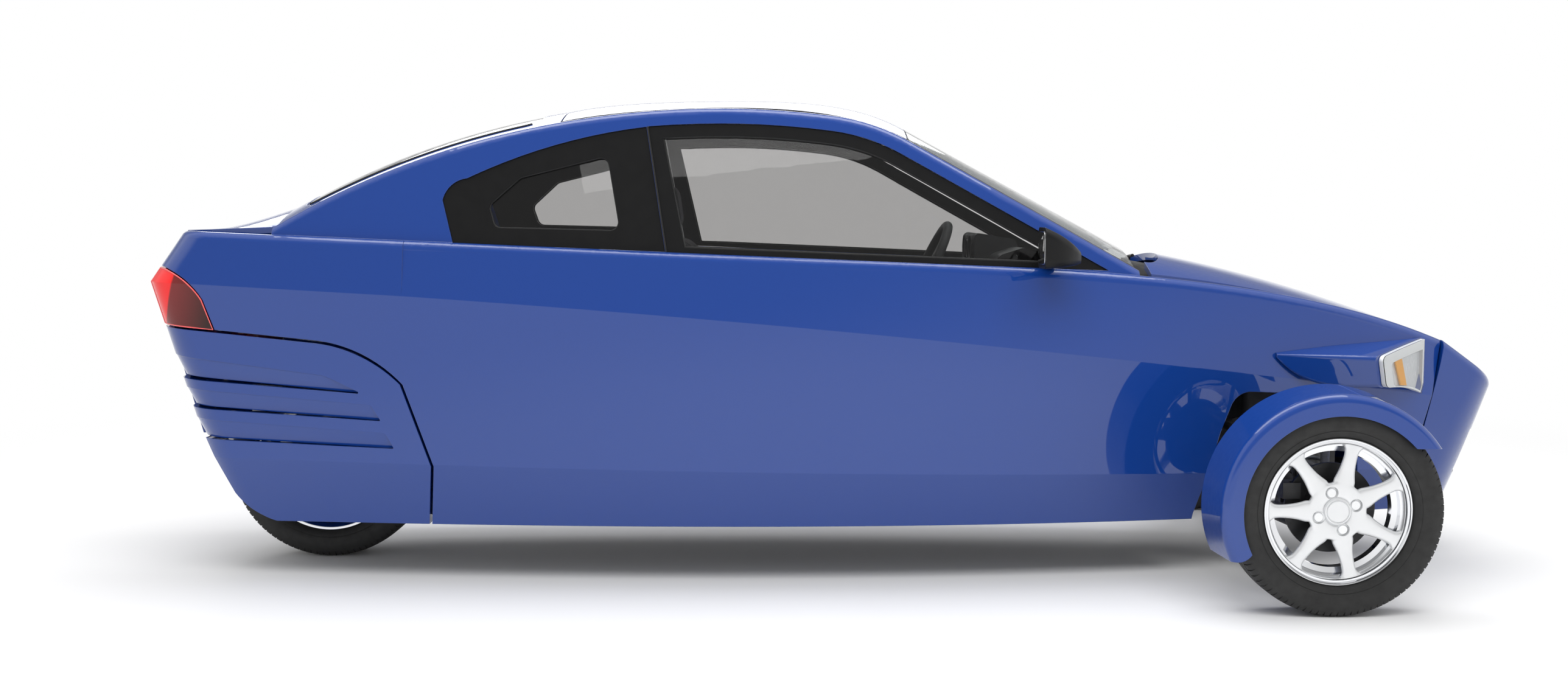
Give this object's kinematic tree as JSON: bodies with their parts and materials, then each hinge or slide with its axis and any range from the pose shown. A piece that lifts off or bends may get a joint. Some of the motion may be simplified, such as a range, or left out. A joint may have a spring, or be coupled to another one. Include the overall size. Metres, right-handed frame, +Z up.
{
  "type": "three-wheeled car",
  "caption": "Enclosed tandem car on a tadpole wheel layout: slim blue body, fendered front wheels on exposed arms, tapering louvred tail; opens at door, hood and hatch.",
  "frame": {"origin": "on the ground under the middle of the outline", "axes": "+X forward, +Y to the left of the car, +Z up"},
  "size_m": [3.9404, 1.704, 1.3761],
  "materials": {
    "paint": "gloss blue",
    "clear_glass": "clear",
    "tinted_glass": "tinted",
    "black_trim": "satin black",
    "cabin_plastic": "grained",
    "seat_cloth": "woven",
    "structure": "dark coat",
    "chassis_steel": "dark",
    "engine": "cast",
    "lens": "clear",
    "red_lens": "gloss red",
    "alloy": "polished",
    "disc": "machined",
    "tyre": "smooth"
  },
  "bodies": {
    "body": {"cowl_panel": "black_trim", "dashboard": "cabin_plastic", "drive_shafts": "chassis_steel", "engine_block": "engine", "firewall": "structure", "floor_pan": "structure", "front_seat": "seat_cloth", "front_struts": "chassis_steel", "front_subframe": "chassis_steel", "headlamp_lenses": "lens", "headlamp_pods": "paint", "left_side_panel": "paint", "nose_cone": "paint", "nose_grille": "black_trim", "quarter_window_frames": "black_trim", "quarter_window_glass": "tinted_glass", "rear_bulkhead": "structure", "rear_plate_panel": "paint", "rear_quarter_panels": "paint", "rear_seat": "seat_cloth", "rear_shocks": "chassis_steel", "right_mirror": "black_trim", "right_side_panel": "paint", "right_window_frame": "black_trim", "right_window_glass": "tinted_glass", "roof_panel": "paint", "steering_wheel": "cabin_plastic", "swing_arm": "chassis_steel", "tail_lamps": "red_lens", "windscreen": "clear_glass", "wiper": "black_trim", "wishbones": "chassis_steel"},
    "door": {"door_shell": "paint", "door_window_frame": "black_trim", "door_window_glass": "tinted_glass", "left_mirror": "black_trim"},
    "hood": {"hood": "paint"},
    "hatch": {"hatch_frame": "paint", "hatch_glass": "tinted_glass"},
    "rack": {"steering_rack": "chassis_steel"},
    "right_upright": {"right_knuckle": "chassis_steel", "right_fender": "paint"},
    "left_upright": {"left_knuckle": "chassis_steel", "left_fender": "paint"},
    "right_wheel": {"right_front_rim": "alloy", "right_front_tyre": "tyre", "right_brake_disc": "disc"},
    "left_wheel": {"left_front_rim": "alloy", "left_front_tyre": "tyre", "left_brake_disc": "disc"},
    "rear_wheel": {"rear_rim": "alloy", "rear_tyre": "tyre"}
  },
  "joints": [
    {"name": "steer_right", "type": "hinge", "parent": "body", "child": "right_upright", "pos_m": [1.265, -0.702, 0.275], "axis": [0, 0, 1], "range_deg": [-32, 32]},
    {"name": "steer_left", "type": "hinge", "parent": "body", "child": "left_upright", "pos_m": [1.265, 0.702, 0.275], "axis": [0, 0, 1], "range_deg": [-32.1, 32.1]},
    {"name": "steering_rack_slide", "type": "slide", "parent": "body", "child": "rack", "axis": [0, 1, 0], "range_m": [-0.0536, 0.0536]},
    {"name": "right_front_wheel_spin", "type": "hinge", "parent": "right_upright", "child": "right_wheel", "pos_m": [1.265, -0.77, 0.275], "axis": [0, 1, 0], "continuous": true},
    {"name": "left_front_wheel_spin", "type": "hinge", "parent": "left_upright", "child": "left_wheel", "pos_m": [1.265, 0.77, 0.275], "axis": [0, 1, 0], "continuous": true},
    {"name": "rear_wheel_spin", "type": "hinge", "parent": "body", "child": "rear_wheel", "pos_m": [-1.54, 0, 0.3], "axis": [0, 1, 0], "continuous": true},
    {"name": "door_hinge", "type": "hinge", "parent": "body", "child": "door", "pos_m": [0.759, 0.4576, 0.6], "axis": [0, 0, -1], "range_deg": [0, 65]},
    {"name": "hood_hinge", "type": "hinge", "parent": "body", "child": "hood", "pos_m": [1.777, 0, 0.6732], "axis": [0, 1, 0], "range_deg": [0, 60]},
    {"name": "hatch_hinge", "type": "hinge", "parent": "body", "child": "hatch", "pos_m": [-0.791, 0, 1.3455], "axis": [0, 1, 0], "range_deg": [0, 65]}
  ],
  "couplings": [
    {"joint": "steer_left", "follows": "steer_right", "ratio": 1},
    {"joint": "steering_rack_slide", "follows": "steer_right", "m_per_rad": -0.095}
  ]
}
